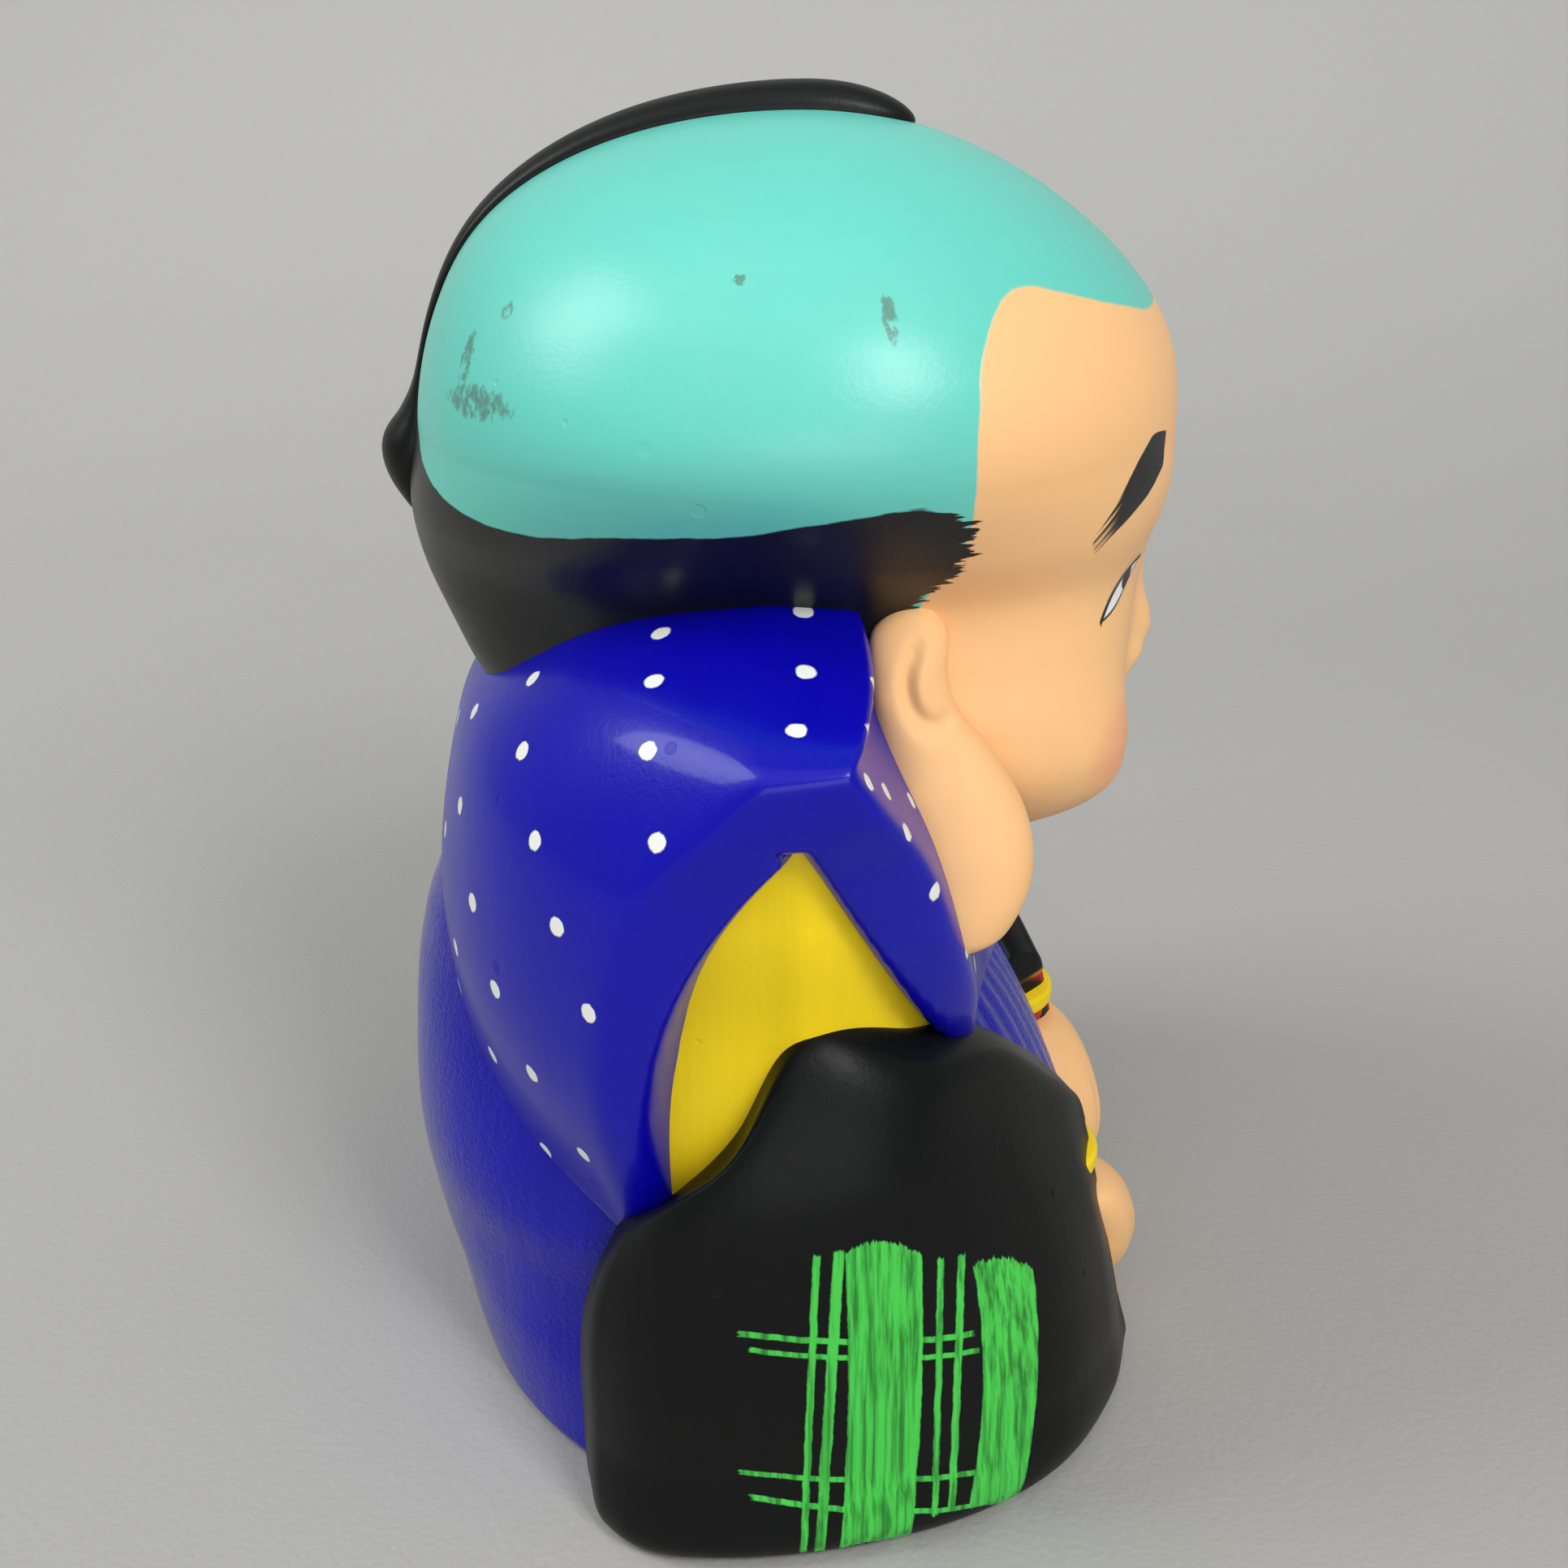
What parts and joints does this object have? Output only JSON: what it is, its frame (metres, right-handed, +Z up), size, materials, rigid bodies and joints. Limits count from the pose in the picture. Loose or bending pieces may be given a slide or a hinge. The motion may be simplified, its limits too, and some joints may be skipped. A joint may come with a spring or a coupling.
{
  "type": "seated good-luck doll",
  "caption": "Hand-painted pottery figure of a seated man with a large shaved head, long ear lobes, stiff-shouldered vest and hanging sleeves; a shelf ornament.",
  "frame": {"origin": "on the table, under the middle of the whole box", "axes": "+Z up, the doll faces -Y, its right side is -X"},
  "size_m": [0.1836, 0.1486, 0.2396],
  "materials": {
    "head_paint": "satin paint, turquoise crown, black hair band, flesh face",
    "black_paint": "satin black paint",
    "skin_paint": "matte flesh paint",
    "blue_paint": "glossy ultramarine paint with off-white dots",
    "yellow_paint": "satin yellow paint",
    "red_paint": "satin red paint",
    "sleeve_paint": "satin black paint with green brushed plaid",
    "bare_clay": "unpainted earthenware"
  },
  "bodies": {
    "root": {"head_shell": "head_paint", "topknot": "black_paint", "ear_right": "skin_paint", "ear_left": "skin_paint", "kimono_body": "yellow_paint", "vest": "blue_paint", "collar_left": "black_paint", "collar_right": "red_paint", "sleeve_right": "sleeve_paint", "sleeve_left": "sleeve_paint", "cuff_yellow_right": "yellow_paint", "cuff_yellow_left": "yellow_paint", "cuff_red_right": "red_paint", "cuff_red_left": "red_paint", "hand_right": "skin_paint", "hand_left": "skin_paint", "hakama_front": "blue_paint", "hakama_back": "blue_paint", "base_plate": "bare_clay"}
  },
  "joints": []
}
